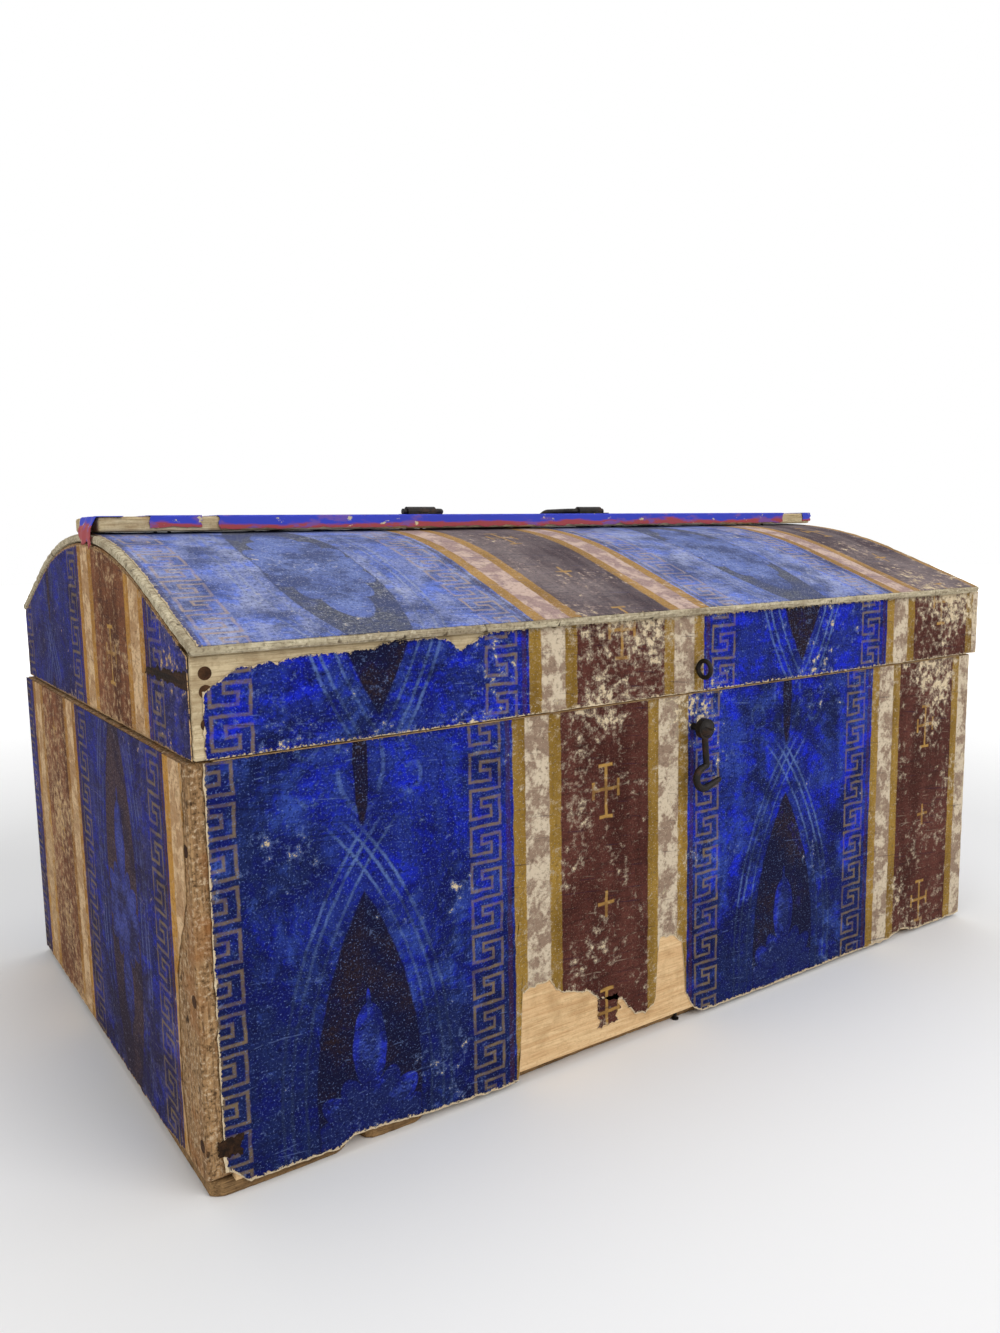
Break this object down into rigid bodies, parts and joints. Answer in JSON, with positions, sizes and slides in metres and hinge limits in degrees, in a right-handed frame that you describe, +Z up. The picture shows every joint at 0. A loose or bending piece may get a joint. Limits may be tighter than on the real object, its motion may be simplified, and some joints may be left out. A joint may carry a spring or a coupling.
{
  "type": "dowry box",
  "caption": "Boarded box with a hinged bowed lid, a lath along its crest with a swinging handle, and a hook and eye on the front, covered in printed wallpaper.",
  "frame": {"origin": "middle of the underside of the bottom board", "axes": "+X along the length, to the right as seen from the front; +Y from the front to the hinged back; +Z up"},
  "size_m": [0.5233, 0.3371, 0.2808],
  "materials": {
    "old_pine": "dry, worn",
    "peg_wood": "dark, end grain",
    "wallpaper": "block printed, matt, worn",
    "ridge_wallpaper": "marbled, matt, worn",
    "iron": "dark oxide, handled"
  },
  "bodies": {
    "box": {"front_board": "old_pine", "back_board": "old_pine", "left_end_board": "old_pine", "right_end_board": "old_pine", "bottom_board": "old_pine", "body_corner_pegs": "peg_wood", "bottom_nails": "iron", "front_paper": "wallpaper", "back_paper": "wallpaper", "left_end_paper": "wallpaper", "right_end_paper": "wallpaper", "hinge_box_leaf_left": "iron", "hinge_box_leaf_right": "iron", "hinge_pin_left": "iron", "hinge_pin_right": "iron", "hinge_box_nails": "iron", "hook_screw": "iron"},
    "lid": {"lid_front_rail": "old_pine", "lid_back_rail": "old_pine", "lid_left_end": "old_pine", "lid_right_end": "old_pine", "lid_top_board": "old_pine", "lid_corner_pegs": "peg_wood", "top_board_nails": "iron", "ridge_bar": "old_pine", "ridge_bar_nails": "iron", "lid_front_paper": "wallpaper", "lid_back_paper": "wallpaper", "lid_left_paper": "wallpaper", "lid_right_paper": "wallpaper", "lid_top_paper": "wallpaper", "ridge_paper": "ridge_wallpaper", "hinge_lid_leaf_left": "iron", "hinge_lid_leaf_right": "iron", "hinge_lid_nails": "iron", "eye_screw": "iron", "handle_saddle_left": "iron", "handle_saddle_right": "iron", "handle_nails": "iron"},
    "handle": {"handle_bail": "iron"},
    "hook": {"hook": "iron"}
  },
  "joints": [
    {"name": "lid_hinge", "type": "hinge", "parent": "box", "child": "lid", "pos_m": [0.0025, 0.1616, 0.1804], "axis": [-1, 0, 0], "range_deg": [0, 175]},
    {"name": "hook_swing", "type": "hinge", "parent": "box", "child": "hook", "pos_m": [0.006, -0.1668, 0.1625], "axis": [0, -1, 0], "range_deg": [-150, 180]},
    {"name": "handle_swing", "type": "hinge", "parent": "lid", "child": "handle", "pos_m": [0.0025, 0.0015, 0.27787], "axis": [1, 0, 0], "range_deg": [0, 178]}
  ]
}
